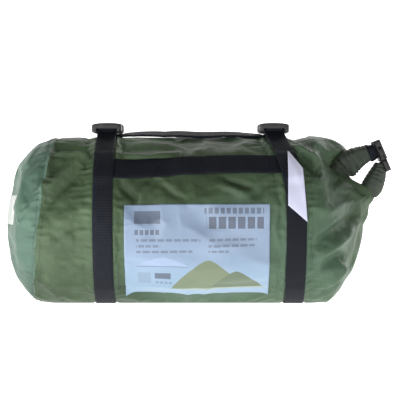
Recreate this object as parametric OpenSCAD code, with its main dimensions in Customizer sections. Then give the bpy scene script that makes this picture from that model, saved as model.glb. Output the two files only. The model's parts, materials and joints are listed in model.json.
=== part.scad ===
// Stuffed roll-top bike bag with two compression straps and a buckled, rolled mouth.
// X runs along the bag towards the rolled mouth, Y runs to the back, Z is up.
// The origin is the middle of the flat that the bag rests on.

/* [Bag] */
// Diameter of the stuffed bag
bag_diameter = 175; // [168:1:182]
// Width of the flat that the bag rests on
base_flat = 46; // [42:1:54]
// Distance from the origin to the tip of the sewn end
end_reach = 199; // [190:1:215]
// Depth of the rounded sewn end
dome_depth = 60; // [40:1:80]
// Power of the super-ellipse that rounds the sewn end
dome_power = 2.6; // [2:0.1:3.2]
// Thickness of the cloth wall
cloth_wall = 3; // [2.5:0.1:5]
// Distance from the origin to the ring seam of the end cap
cap_seam_reach = 160; // [150:1:168]
// Lean of the ring seam from upright, in degrees
cap_seam_lean = 7; // [0:0.5:9]
// Height of the lengthwise seam above the base
base_seam_height = 19; // [12:1:25]
// Distance from the origin to where the mouth cloth starts
collar_start = 112; // [110:1:118]

/* [Straps] */
// Width of the strap webbing
webbing_width = 20; // [18:0.5:22]
// Thickness of the strap webbing
webbing_thickness = 1.5; // [1.2:0.1:1.6]
// Distance from the origin to the left strap
left_strap_reach = 97; // [90:1:105]
// Distance from the origin to the foot of the right strap
right_strap_reach = 96; // [92:1:98]
// How far the right strap leans inward by the top of the bag
right_strap_lean = 19; // [0:1:22]
// Width of the front carry strap
front_strap_width = 25; // [20:1:26]
// Elevation of the front carry strap above the bag's middle, in degrees
front_strap_elevation = 41; // [36:0.5:43]
// Rise of the top handle above its two ends
handle_rise = 3; // [1:0.5:3.5]

/* [Label] */
// Length of the label along the bag
label_length = 145; // [120:1:150]
// Distance of the label's middle from the origin, along X
label_offset = -3; // [-6:1:0]
// Elevation of the label's upper edge, in degrees
label_top = 12; // [0:1:20]
// Elevation of the label's lower edge, in degrees
label_bottom = -58; // [-66:1:-40]

/* [Buckles] */
// Height of the strap buckles' middle above the base
buckle_height = 182; // [179.5:0.5:184]
// Size of the closure buckle against a strap buckle
closure_scale = 0.8; // [0.75:0.01:0.85]
// Angle of the closure buckle below level, in degrees
closure_pitch = 67; // [64:1:70]

/* [Hidden] */

$fn = 96;
bag_radius = bag_diameter / 2;
axis_height = sqrt(pow(bag_radius, 2) - pow(base_flat / 2, 2));
gap = 0.2;               // clearance between neighbours that only lie on each other
layer = webbing_thickness + gap;
far = 400;               // larger than the bag, for cutting planes
base_groove = layer + 0.4; // depth of the groove that each strap lies in under the bag
roll_in_collar = 6;      // how far the packed roll reaches into the mouth cloth
lean_start = 10;         // elevation above which the right strap leans, in degrees

cloth_green = [0.35, 0.44, 0.35];
shade_green = [0.28, 0.36, 0.29];
cap_green = [0.30, 0.42, 0.38];
webbing_navy = [0.10, 0.11, 0.15];
buckle_black = [0.06, 0.06, 0.07];
label_blue = [0.68, 0.76, 0.88];
tag_white = [0.88, 0.88, 0.96];
roll_grey = [0.6, 0.6, 0.58];

// ---- Turned cloth shapes ----

// Half outline of the stuffed bag, as [radius, x], from the tip of the sewn end to x = right.
function bag_outline(inset, right) =
    let (radius = bag_radius - inset, depth = dome_depth - inset, steps = 14)
    concat(
        [for (i = [0:steps])
            let (t = 90 * i / steps)
            [radius * pow(sin(t), 2 / dome_power),
             -(end_reach - dome_depth) - depth * pow(cos(t), 2 / dome_power)]],
        [[radius, right], [0, right]]);

module about_axis() {
    translate([0, 0, axis_height])
        rotate([0, 90, 0])
            children();
}

module above(height) {
    translate([-far / 2, -far / 2, height])
        cube([far, far, far]);
}

module bag_solid(inset, right) {
    intersection() {
        about_axis()
            rotate_extrude()
                polygon(bag_outline(inset, right));
        above(inset);
    }
}

module bag_shell() {
    difference() {
        bag_solid(0, collar_start);
        bag_solid(cloth_wall, collar_start + 1);
    }
}

// Everything on the sewn end's side of the leaning ring seam.
module sewn_end_side() {
    translate([-cap_seam_reach, 0, axis_height])
        rotate([0, cap_seam_lean, 0])
            translate([-far, -far / 2, -far / 2])
                cube([far, far, far]);
}

module body_panel() {
    color(cloth_green)
        difference() {
            intersection() {
                bag_shell();
                above(base_seam_height);
            }
            sewn_end_side();
        }
}

module base_panel() {
    color(shade_green)
        difference() {
            bag_shell();
            above(base_seam_height);
            sewn_end_side();
            for (x = [-left_strap_reach, right_strap_reach])
                translate([x, 0, 0])
                    cube([webbing_width + 2 * gap, far, 2 * base_groove], center = true);
        }
}

module end_cap() {
    color(cap_green)
        intersection() {
            bag_shell();
            sewn_end_side();
        }
}

module packed_roll() {
    clearance = cloth_wall + 0.5;
    color(roll_grey)
        bag_solid(clearance, collar_start + roll_in_collar);
}

// ---- Mouth ----

// Thin disc across the bag; each section of the mouth is [x, radius, height of its middle].
module disc(section) {
    translate([section[0], 0, section[2]])
        rotate([0, 90, 0])
            cylinder(h = 0.5, r = section[1], $fn = 40);
}

shoulder = [
    [collar_start, bag_radius - 0.2, axis_height],
    [collar_start + 16, bag_radius - 2, axis_height + 0.5],
    [collar_start + 34, bag_radius - 12, axis_height + 3],
    [collar_start + 43, bag_radius - 28, axis_height + 14]
];
throat = [collar_start + 26, 58, 70];

// The mouth is folded flat along a line that falls from the shoulder towards the right.
fold_start = [133, 141];     // x and z of its upper end
fold_slope = 25.3;           // fall in degrees
fold_length = 60;
band_thickness = 9;
band_lead = 2;               // how far the band reaches back past the fold line's upper end
left_half_width = 14;        // half the depth of the band and of its left arm, along Y
right_half_width = 12;
band_room = 2;               // space left in the collar on the band's far side
lip_start = 18;              // where the folded cloth starts to carry the band
lip_height = 4;

module on_fold_line() {
    translate([fold_start[0], 0, fold_start[1]])
        rotate([0, fold_slope, 0])
            children();
}

module mouth_collar() {
    color(cloth_green)
        difference() {
            union() {
                intersection() {
                    hull()
                        for (section = shoulder)
                            disc(section);
                    above(0);
                }
                hull() {
                    disc(throat);
                    on_fold_line()
                        translate([lip_start, -right_half_width, -band_thickness - lip_height])
                            cube([fold_length - lip_start - 2, 2 * right_half_width, lip_height - gap]);
                }
            }
            // room for the packed roll
            translate([collar_start - 1, 0, axis_height])
                rotate([0, 90, 0])
                    cylinder(h = roll_in_collar + 1.5, r = bag_radius - cloth_wall);
            // room for the rolled band
            on_fold_line()
                translate([-band_lead - gap, -far / 2, -band_thickness - gap])
                    cube([far, far / 2 + left_half_width + band_room + gap, far / 3]);
        }
}

// Slab between y = -half_width and y = half_width, from an outline in x and z.
module slab(outline, half_width) {
    translate([0, half_width, 0])
        rotate([90, 0, 0])
            linear_extrude(2 * half_width)
                polygon(outline);
}

// Outlines of the two ends of the rolled band, in x and z, bent up to meet at the buckle.
left_arm = [[133, 138], [155.5, 128], [170, 146], [184.6, 150.4], [178.4, 165], [172, 162.6], [156, 160]];
right_arm = [[167, 122], [186, 113], [191.6, 137.5], [187.2, 147.6], [181.5, 147]];

module rolled_mouth() {
    color(shade_green) {
        on_fold_line()
            translate([-band_lead, -left_half_width, -band_thickness])
                cube([fold_length + 1, 2 * left_half_width, band_thickness]);
        slab(left_arm, left_half_width);
        slab(right_arm, right_half_width);
    }
}

// ---- Webbing ----

// Part of a circle's ring around the bag between two elevations, as a 2-D shape in y and z.
module ring_piece(inner, outer, low, high) {
    steps = 24;
    function at(radius, elevation) =
        [-radius * cos(elevation), axis_height + radius * sin(elevation)];
    difference() {
        intersection() {
            translate([0, axis_height])
                circle(r = outer, $fn = 128);
            polygon(concat(
                [[0, axis_height]],
                [for (i = [0:steps]) at(2 * outer, low + (high - low) * i / steps)]));
        }
        translate([0, axis_height])
            circle(r = inner, $fn = 128);
    }
}

module along_bag(length) {
    rotate([90, 0, 90])
        linear_extrude(length)
            children();
}

module front_strap() {
    half_angle = front_strap_width / 2 / bag_radius * 180 / PI;
    upper_edge = front_strap_elevation + half_angle;
    start = -left_strap_reach + webbing_width / 2 + gap;
    finish = right_strap_x(upper_edge) - webbing_width / 2 - 2 * gap;
    color(webbing_navy)
        translate([start, 0, 0])
            along_bag(finish - start)
                ring_piece(bag_radius + gap, bag_radius + layer,
                    front_strap_elevation - half_angle, upper_edge);
}

module label_card() {
    thickness = 0.6;
    color(label_blue)
        translate([label_offset - label_length / 2, 0, 0])
            along_bag(label_length)
                ring_piece(bag_radius + gap, bag_radius + gap + thickness, label_bottom, label_top);
}

// X of the right strap's middle at an elevation: upright at first, then leaning inward to the top.
function right_strap_x(elevation) =
    let (t = max(0, (elevation - lean_start) / (90 - lean_start)))
    right_strap_reach - right_strap_lean * t * t * (3 - 2 * t);

// A point on the bag's skin: turn 0 is under the bag, 180 is on top, 90 is the front.
function skin_height(turn, offset) =
    max(axis_height - (bag_radius + offset) * cos(turn), base_groove - offset - 0.1);
function skin_depth(turn, offset) = -(bag_radius + offset) * sin(turn);

// Four corners of a strap's section at one turn.
function strap_corners(turn, low, high, width, left) =
    let (elevation = 90 - abs(180 - turn),
         middle = left ? -left_strap_reach : right_strap_x(elevation))
    [for (corner = [[-1, low], [1, low], [1, high], [-1, high]])
        [middle + corner[0] * width / 2, skin_depth(turn, corner[1]), skin_height(turn, corner[1])]];

// A band of webbing on the skin between two turns; it is a closed ring if they are 360 apart.
module band(low, high, width, left, start, finish, steps) {
    closed = finish - start == 360;
    rings = closed ? steps : steps + 1;
    points = [for (i = [0:rings - 1])
        each strap_corners(start + (finish - start) * i / steps, low, high, width, left)];
    sides = [for (i = [0:steps - 1]) for (k = [0:3])
        let (a = 4 * i + k,
             b = 4 * i + (k + 1) % 4,
             c = 4 * ((i + 1) % rings) + (k + 1) % 4,
             d = 4 * ((i + 1) % rings) + k)
        each [[a, b, c], [a, c, d]]];
    ends = closed ? [] : [[3, 2, 1, 0], [for (k = [0:3]) 4 * (rings - 1) + k]];
    polyhedron(points, concat(sides, ends), convexity = 6);
}

module left_strap() {
    color(webbing_navy)
        band(gap, layer, webbing_width, true, 0, 360, 72);
}

module right_strap() {
    color(webbing_navy)
        band(gap, layer, webbing_width, false, 0, 360, 72);
}

module strap_tag() {
    width = webbing_width - 4;
    thickness = 0.5;
    bottom = -2;             // elevations of its two ends
    top = 53;
    color(tag_white)
        band(layer + gap, layer + gap + thickness, width, false, 90 + bottom, 90 + top, 12);
}

// Low arch between the two compression straps, along the top of the bag.
module top_handle() {
    start = -left_strap_reach + webbing_width / 2 + gap;
    finish = right_strap_reach - right_strap_lean - webbing_width / 2 - gap;
    rest = axis_height + bag_radius + gap;
    steps = 20;
    function arch(i) = rest + handle_rise * pow(sin(180 * i / steps), 2);
    function along(i) = start + (finish - start) * i / steps;
    color(webbing_navy)
        slab(concat(
            [for (i = [0:steps]) [along(i), arch(i)]],
            [for (i = [steps:-1:0]) [along(i), arch(i) + webbing_thickness]]), webbing_width / 2);
}

// ---- Side-release buckle ----
// Drawn for the strap webbing. X is the way the plug pulls out, Y is the width and Z the thickness.
// The socket's mouth is at x = 0.

buckle_width = webbing_width + 13;
buckle_thickness = 9.5;
socket_length = 27;
socket_depth = 19.5;         // depth of the chamber behind the mouth
socket_end_wall = 1.7;
socket_side_wall = 2.5;
chamber_height = 6.4;
window_setback = 1.5;        // distance from the chamber's end to the side windows
hollow_radius = 30;          // thumb hollow on the socket's top face
hollow_depth = 1.1;
bar_radius = 1.5;
socket_bar_x = -24.6;
plug_bar_x = 9;
plug_length = 16;
plug_thickness = 7;
plug_slot = [5, 12.8];       // where the plug's webbing slot starts and ends
far_bar_low = -0.6;          // underside of the plug's far bar
tongue_length = 17;
tongue_width = 3.2;
pivot_x = 2.2;
pivot_y = 12.3;
knuckle_radius = 1.9;
knuckle_clearance = 0.15;
button_height = 4.8;
slot_half_width = webbing_width / 2 + 0.8;

module plate(x0, x1, width, thickness) {
    translate([x0, -width / 2, -thickness / 2])
        cube([x1 - x0, width, thickness]);
}

// Plate with its four upright corners rounded.
module rounded_plate(x0, x1, width, thickness, corner) {
    plate(x0 + corner, x1 - corner, width, thickness);
    plate(x0, x1, width - 2 * corner, thickness);
    for (x = [x0 + corner, x1 - corner], y = [-1, 1])
        translate([x, y * (width / 2 - corner), 0])
            cylinder(h = thickness, r = corner, center = true, $fn = 32);
}

module bar(x) {
    translate([x, 0, 0])
        rotate([90, 0, 0])
            cylinder(h = 2 * slot_half_width + 1, r = bar_radius, center = true, $fn = 32);
}

module buckle_socket() {
    difference() {
        rounded_plate(-socket_length, 0, buckle_width, buckle_thickness, 3.5);
        // chamber for the tongue and arms, and the windows that the buttons show through
        plate(-socket_depth, 1, buckle_width - 2 * socket_side_wall, chamber_height);
        plate(window_setback - socket_depth, 1, buckle_width + 1, chamber_height);
        // slot for the webbing
        plate(-socket_length - 1, -socket_depth - socket_end_wall, 2 * slot_half_width,
            buckle_thickness + 1);
        translate([-socket_depth / 2, 0, buckle_thickness / 2 + hollow_radius - hollow_depth])
            sphere(r = hollow_radius, $fn = 64);
    }
    bar(socket_bar_x);
}

module buckle_plug() {
    difference() {
        union() {
            rounded_plate(0.3, plug_length, buckle_width - 2, plug_thickness, 3);
            rounded_plate(-tongue_length, 2, tongue_width, button_height, 1.2);
        }
        plate(plug_slot[0], plug_slot[1], 2 * slot_half_width, plug_thickness + 1);
        // the far bar is left in the upper half only
        translate([plug_slot[1] - 1, -slot_half_width, far_bar_low - plug_thickness])
            cube([plug_length, 2 * slot_half_width, plug_thickness]);
        // sockets for the knuckles of the two arms
        for (side = [-1, 1])
            translate([0, side * pivot_y, 0]) {
                translate([pivot_x, 0, 0])
                    cylinder(h = button_height + 2 * knuckle_clearance,
                        r = knuckle_radius + knuckle_clearance, center = true, $fn = 32);
                plate(-1, pivot_x, 2 * (knuckle_radius + 2 * knuckle_clearance),
                    button_height + 2 * knuckle_clearance);
            }
    }
    bar(plug_bar_x);
}

// One squeeze arm with its button; side is 1 for +Y and -1 for -Y.
module buckle_button(side) {
    outline = [
        [pivot_x, 13.5], [-4.6, 13.5], [-6, 15.4], [-8.5, 16.3], [-13, 16.3], [-15.4, 15.6],
        [-16.4, 13.4], [-17.6, 10.6], [-17.3, 9.2], [-15.5, 9.6], [-9, 10.6], [pivot_x, 11.1]
    ];
    mirror([0, side < 0 ? 1 : 0, 0])
        translate([0, 0, -button_height / 2]) {
            linear_extrude(button_height)
                polygon(outline);
            translate([pivot_x, pivot_y, 0])
                cylinder(h = button_height, r = knuckle_radius, $fn = 32);
        }
}

// Webbing turned once around a bar.
module bar_loop(x, width) {
    translate([x, 0, 0])
        rotate([90, 0, 0])
            difference() {
                cylinder(h = width, r = bar_radius + 0.1 + webbing_thickness, center = true, $fn = 32);
                cylinder(h = width + 1, r = bar_radius + 0.1, center = true, $fn = 32);
            }
}

// ---- Strap buckles on top of the bag ----

mouth_y = -5;                // where the sockets of the strap buckles open, along Y
left_buckle_x = -left_strap_reach;
right_buckle_x = right_strap_reach - right_strap_lean;

module on_top(x) {
    translate([x, mouth_y, buckle_height])
        rotate([0, 0, -90])
            children();
}

// Webbing from a buckle's bar down to where it lies on the strap, as one straight stretch.
// side is -1 to the front of the bag and 1 to the back.
module strap_end(x, bar_y, side) {
    inset = 0.1;    // keeps the straight stretch's faces off the loop's tangent planes
    hole_radius = bar_radius + 0.1;
    loop_radius = hole_radius + webbing_thickness / 2;
    rest_radius = bag_radius + layer + 2 * gap + webbing_thickness / 2;
    rise = buckle_height - axis_height;
    reach = sqrt(pow(bar_y, 2) + pow(rise, 2));
    lean = atan2(abs(bar_y), rise);
    slope = lean + acos((rest_radius + loop_radius) / reach);
    run = sqrt(pow(reach, 2) - pow(rest_radius + loop_radius, 2));
    translate([x, bar_y, buckle_height])
        rotate([90, 0, side * 90])
            translate([0, 0, -webbing_width / 2])
                linear_extrude(webbing_width)
                    difference() {
                        union() {
                            circle(r = hole_radius + webbing_thickness, $fn = 32);
                            rotate(-slope)
                                translate([0, -hole_radius - webbing_thickness + inset])
                                    square([run, webbing_thickness - 2 * inset]);
                        }
                        circle(r = hole_radius, $fn = 32);
                    }
}

module left_buckle_socket() {
    color(buckle_black)
        on_top(left_buckle_x)
            buckle_socket();
}

module left_buckle_plug() {
    color(buckle_black)
        on_top(left_buckle_x)
            buckle_plug();
}

module left_buckle_button_left() {
    color(buckle_black)
        on_top(left_buckle_x)
            buckle_button(-1);
}

module left_buckle_button_right() {
    color(buckle_black)
        on_top(left_buckle_x)
            buckle_button(1);
}

module left_rear_webbing() {
    color(webbing_navy)
        strap_end(left_buckle_x, mouth_y - socket_bar_x, 1);
}

module left_front_webbing() {
    color(webbing_navy)
        strap_end(left_buckle_x, mouth_y - plug_bar_x, -1);
}

module right_buckle_socket() {
    color(buckle_black)
        on_top(right_buckle_x)
            buckle_socket();
}

module right_buckle_plug() {
    color(buckle_black)
        on_top(right_buckle_x)
            buckle_plug();
}

module right_buckle_button_left() {
    color(buckle_black)
        on_top(right_buckle_x)
            buckle_button(-1);
}

module right_buckle_button_right() {
    color(buckle_black)
        on_top(right_buckle_x)
            buckle_button(1);
}

module right_rear_webbing() {
    color(webbing_navy)
        strap_end(right_buckle_x, mouth_y - socket_bar_x, 1);
}

module right_front_webbing() {
    color(webbing_navy)
        strap_end(right_buckle_x, mouth_y - plug_bar_x, -1);
}

// ---- Closure buckle at the end of the rolled mouth ----

closure_mouth = [192.1, 149.2]; // x and z of its socket's mouth

module on_closure() {
    translate([closure_mouth[0], 0, closure_mouth[1]])
        rotate([0, closure_pitch, 0])
            scale(closure_scale)
                children();
}

// Webbing around a bar with a short tail towards the rolled band.
module closure_tab(x) {
    width = webbing_width - 1;
    tail_root = bar_radius + 0.6;
    tail = 3.4;
    bar_loop(x, width);
    translate([x - webbing_thickness / 2, -width / 2, -tail_root - tail])
        cube([webbing_thickness, width, tail]);
}

module closure_buckle_socket() {
    color(buckle_black)
        on_closure()
            buckle_socket();
}

module closure_buckle_plug() {
    color(buckle_black)
        on_closure()
            buckle_plug();
}

module closure_buckle_button_front() {
    color(buckle_black)
        on_closure()
            buckle_button(-1);
}

module closure_buckle_button_back() {
    color(buckle_black)
        on_closure()
            buckle_button(1);
}

module closure_socket_tab() {
    color(webbing_navy)
        on_closure()
            closure_tab(socket_bar_x);
}

module closure_plug_tab() {
    color(webbing_navy)
        on_closure()
            closure_tab(plug_bar_x);
}

body_panel();
base_panel();
end_cap();
mouth_collar();
rolled_mouth();
packed_roll();
label_card();
strap_tag();
front_strap();
top_handle();
left_strap();
left_rear_webbing();
left_front_webbing();
left_buckle_socket();
left_buckle_plug();
left_buckle_button_left();
left_buckle_button_right();
right_strap();
right_rear_webbing();
right_front_webbing();
right_buckle_socket();
right_buckle_plug();
right_buckle_button_left();
right_buckle_button_right();
closure_socket_tab();
closure_plug_tab();
closure_buckle_socket();
closure_buckle_plug();
closure_buckle_button_front();
closure_buckle_button_back();
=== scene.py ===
"""Looks of a stuffed roll-top bike bag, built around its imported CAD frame. Lengths are in metres."""

import json
import math

import bmesh
import bpy
import numpy as np
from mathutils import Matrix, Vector
from mathutils.bvhtree import BVHTree


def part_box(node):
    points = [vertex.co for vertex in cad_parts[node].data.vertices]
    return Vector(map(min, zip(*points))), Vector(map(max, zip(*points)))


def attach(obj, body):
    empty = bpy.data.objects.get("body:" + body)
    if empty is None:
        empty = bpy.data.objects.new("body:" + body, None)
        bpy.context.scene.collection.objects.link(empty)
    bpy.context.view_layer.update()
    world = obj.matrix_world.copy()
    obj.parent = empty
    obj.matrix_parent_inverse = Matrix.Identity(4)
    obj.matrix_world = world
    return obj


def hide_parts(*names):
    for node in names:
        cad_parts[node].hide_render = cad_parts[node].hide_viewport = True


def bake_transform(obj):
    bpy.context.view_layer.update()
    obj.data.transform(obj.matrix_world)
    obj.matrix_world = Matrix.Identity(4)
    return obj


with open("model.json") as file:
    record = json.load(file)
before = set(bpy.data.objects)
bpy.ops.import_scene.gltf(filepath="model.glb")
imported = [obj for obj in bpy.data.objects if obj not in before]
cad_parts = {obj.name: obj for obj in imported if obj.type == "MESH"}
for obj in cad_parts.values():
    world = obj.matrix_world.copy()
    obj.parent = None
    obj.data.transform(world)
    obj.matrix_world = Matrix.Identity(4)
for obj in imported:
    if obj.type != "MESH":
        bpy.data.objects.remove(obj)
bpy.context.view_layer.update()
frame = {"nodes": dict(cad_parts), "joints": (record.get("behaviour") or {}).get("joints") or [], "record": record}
nodes = frame["nodes"]
MM = 0.001

# ---- Sizes and places, from the frame ----

body_low, body_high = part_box("body_panel")
RADIUS = (body_high.y - body_low.y) / 2
AXIS_Z = body_high.z - RADIUS
END_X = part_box("end_cap")[0].x
COLLAR_X = body_high.x
strap_low, strap_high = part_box("left_strap")
WEBBING = strap_high.x - strap_low.x
LEFT_X = (strap_low.x + strap_high.x) / 2
RIGHT_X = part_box("right_strap")[1].x - WEBBING / 2
RIGHT_LEAN = RIGHT_X - WEBBING / 2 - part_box("right_strap")[0].x
LEAN_START = 10                     # elevation above which the right strap leans, in degrees
SEAM_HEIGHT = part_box("base_panel")[1].z
BASE_ANGLE = math.degrees(math.asin((SEAM_HEIGHT - AXIS_Z) / RADIUS))
CAP_SEAM_X = -0.160
CAP_SEAM_LEAN = math.tan(math.radians(7))
DOME_DEPTH = 0.060
DOME_POWER = 2.6
THICKNESS = 1.6 * MM                # webbing
GROOVE = 2.0 * MM                   # how deep the straps lie in the flat underside

# ---- The cloth as a grid: rings from the sewn end to the mouth, columns all the way round ----
# A column's angle is 0 at the front, 90 on top, 180 at the back and -90 underneath.

COLUMNS = 280
RING_STEP = 2.1 * MM
COLLAR_RINGS = 52
ANGLES = -90 + 360 * np.arange(COLUMNS) / COLUMNS
SIN = np.sin(np.radians(ANGLES))
COS = np.cos(np.radians(ANGLES))


def smooth_step(t):
    t = np.clip(t, 0, 1)
    return t * t * (3 - 2 * t)


def elevation(angle):
    """Elevation of a column, the same at the front and the back: 90 on top and -90 underneath."""
    return 90 - np.abs(np.mod(angle + 90, 360) - 180)


def right_strap_x(angle):
    return RIGHT_X - RIGHT_LEAN * smooth_step((elevation(angle) - LEAN_START) / (90 - LEAN_START))


def left_strap_x(angle):
    return LEFT_X + 0 * np.asarray(angle, float)


def under_strap(x, angle, blur):
    """1 under either strap, falling to 0 over blur beside it."""
    near = [np.abs(x - strap(angle)) - WEBBING / 2 for strap in (left_strap_x, right_strap_x)]
    return 1 - smooth_step(np.minimum(*near) / blur)


def profile(x):
    """Radius of the stuffed bag at x, up to where the mouth begins."""
    t = np.clip((END_X + DOME_DEPTH - x) / DOME_DEPTH, 0, 1)
    return RADIUS * (1 - t ** DOME_POWER) ** (1 / DOME_POWER)


def ring_places():
    """X of each ring of the end and body, evenly spaced along the cloth."""
    turn = np.linspace(0.05, math.pi / 2, 400)
    dome = END_X + DOME_DEPTH * (1 - np.cos(turn) ** (2 / DOME_POWER))
    x = np.concatenate([dome, np.linspace(END_X + DOME_DEPTH, COLLAR_X, 400)[1:]])
    run = np.concatenate([[0], np.cumsum(np.hypot(np.diff(x), np.diff(profile(x))))])
    return np.interp(np.arange(0, run[-1] + RING_STEP / 2, RING_STEP), run, x)


def settle_on_floor(z, groove):
    """Flattens what would be below the floor, or below a strap's groove in it."""
    return groove + 0.5 * (z - groove + np.sqrt((z - groove) ** 2 + (1.0 * MM) ** 2))


def body_rings():
    rings = []
    for x0 in ring_places():
        lean = np.interp(x0, [END_X + 8 * MM, CAP_SEAM_X, LEFT_X - 25 * MM], [0, 1, 0])
        x = x0 + lean * CAP_SEAM_LEAN * RADIUS * SIN
        radius = profile(x)
        z = settle_on_floor(AXIS_Z + radius * SIN, GROOVE * under_strap(x, ANGLES, 3 * MM))
        rings.append(np.stack([x, -radius * COS, z], 1))
    return rings


# The mouth is flattened and folded over along a line that falls towards the right.
FOLD_START = np.array([133, 0, 141]) * MM
FOLD_ALONG = np.array([math.cos(math.radians(25.3)), 0, -math.sin(math.radians(25.3))])
FOLD_UP = np.array([math.sin(math.radians(25.3)), 0, math.cos(math.radians(25.3))])
# How each column reaches the fold, in millimetres: its angle, how far it runs on along the bag,
# the point that it then turns at, how far along the fold it ends, and its place across the fold.
MOUTH = [
    (-90, 62, (148, -1, 40), 60, -1),
    (-45, 50, (156, -34, 60), 50, -7),
    (0, 36, (146, -42, 100), 32, -9),
    (45, 18, (128, -38, 134), 11, -9),
    (64, 12, (120, -24, 150), 0, -8),
    (92, 40, (170, 4, 160), 5, 2),
    (112, 44, (170, 20, 158), 9, 9),
    (135, 44, (166, 40, 140), 14, 10),
    (180, 40, (160, 45, 100), 32, 9),
    (225, 50, (158, 34, 58), 50, 7),
    (270, 62, (148, -1, 40), 60, -1),
]


def blur_round(values, degrees):
    """Softens values from column to column."""
    reach = int(3 * degrees * len(values) / 360)
    offsets = np.arange(-reach, reach + 1)
    weights = np.exp(-0.5 * (offsets * 360 / len(values) / degrees) ** 2)
    weights /= weights.sum()
    return sum(w * np.roll(values, int(o), 0) for w, o in zip(weights, offsets))


def mouth_rings(first):
    """Rings from the end of the body to the fold. Each column is one smooth curve."""
    keys = [m[0] for m in MOUTH]

    def over_angles(values):
        return blur_round(np.interp(ANGLES, keys, values), 7)

    run_on = over_angles([m[1] for m in MOUTH]) * MM
    turn = np.stack([over_angles([m[2][k] for m in MOUTH]) for k in range(3)], 1) * MM
    along = over_angles([m[3] for m in MOUTH]) * MM
    across = over_angles([m[4] for m in MOUTH]) * MM
    end = FOLD_START + along[:, None] * FOLD_ALONG
    end[:, 1] = across
    start_turn = first + run_on[:, None] * np.array([1, 0, 0])
    t = np.linspace(0, 1, 200)[:, None, None]
    curve = ((1 - t) ** 3 * first + 3 * (1 - t) ** 2 * t * start_turn
             + 3 * (1 - t) * t ** 2 * turn + t ** 3 * end)
    steps = np.linalg.norm(np.diff(curve, axis=0), axis=2)
    run = np.concatenate([np.zeros((1, COLUMNS)), np.cumsum(steps, 0)])
    rings = []
    for i in range(1, COLLAR_RINGS + 1):
        share = i / COLLAR_RINGS
        ring = np.empty((COLUMNS, 3))
        for c in range(COLUMNS):
            for k in range(3):
                ring[c, k] = np.interp(share * run[-1, c], run[:, c], curve[:, c, k])
        ring[:, 2] = np.maximum(ring[:, 2], 0.3 * MM)
        rings.append(ring)
    return rings


def bag_grid():
    rings = body_rings()
    body_count = len(rings)
    return np.array(rings + mouth_rings(rings[-1])), body_count


# ---- Folds in the cloth ----
# Each fold runs through points given as x and z in millimetres. Height is positive for a ridge and
# negative for a crease. Width is how far it spreads to each side.

FRONT_FOLDS = [
    # sewn end
    ([(-154, 161), (-132, 158.5), (-108, 157)], 3.0, 2.4),
    ([(-150, 154), (-130, 151.5), (-108, 151)], 3.0, -3.0),
    ([(-148, 146), (-130, 146), (-116, 149)], 4.5, -1.6),
    ([(-121, 150), (-146, 126), (-166, 106)], 5.0, -2.4),
    ([(-117, 143), (-140, 116), (-158, 92)], 6.0, 1.8),
    ([(-152, 147), (-152, 128), (-164, 112)], 3.0, -1.6),
    ([(-190, 132), (-193, 100), (-190, 60)], 7.0, 1.6),
    ([(-180, 140), (-184, 100), (-182, 48)], 6.0, -1.5),
    ([(-170, 60), (-162, 34), (-158, 14)], 5.0, 1.2),
    ([(-110, 104), (-128, 92), (-150, 88)], 8.0, -1.0),
    ([(-110, 60), (-128, 50), (-140, 30)], 9.0, 1.0),
    # between the straps, above and below the carry strap
    ([(-84, 158), (-52, 160), (-10, 159)], 4.0, 1.6),
    ([(-84, 152), (-50, 151), (-20, 154)], 3.0, -1.2),
    ([(-10, 166), (30, 164), (62, 163)], 4.0, -1.2),
    ([(-82, 126), (-66, 112), (-58, 104)], 4.0, 2.0),
    ([(-50, 128), (-58, 114), (-62, 100)], 3.6, -1.8),
    ([(-40, 127), (-30, 116), (-14, 108)], 4.0, 1.2),
    ([(22, 131), (38, 126), (54, 119)], 3.4, 2.2),
    ([(18, 124), (36, 117), (50, 110)], 4.0, -1.4),
    ([(70, 128), (60, 116), (46, 108)], 4.5, 1.3),
    ([(-86, 80), (-80, 60), (-84, 40)], 3.5, 1.0),
    ([(-84, 20), (-60, 9), (-30, 7)], 4.0, 1.0),
    ([(78, 100), (74, 80), (80, 58)], 3.5, -1.0),
    # mouth
    ([(90, 162), (105, 155), (117, 146), (122, 141)], 3.0, -4.6),
    ([(94, 153), (108, 144), (124, 132)], 5.0, 2.4),
    ([(100, 169), (114, 164), (126, 155)], 4.0, 1.8),
    ([(110, 112), (130, 120), (148, 131)], 7.0, 1.3),
    ([(108, 98), (130, 96), (158, 108)], 6.0, -1.6),
    ([(111, 58), (132, 72), (154, 87), (170, 102)], 6.0, 2.6),
    ([(112, 47), (130, 57), (148, 69), (162, 84)], 4.6, -3.6),
    ([(118, 35), (136, 45), (152, 56)], 4.4, 3.2),
    ([(126, 20), (138, 31), (149, 45)], 4.4, -3.8),
    ([(118, 12), (132, 13), (146, 27)], 4.0, 1.8),
    ([(104, 34), (110, 22), (112, 10)], 6.0, 1.4),
]
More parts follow.
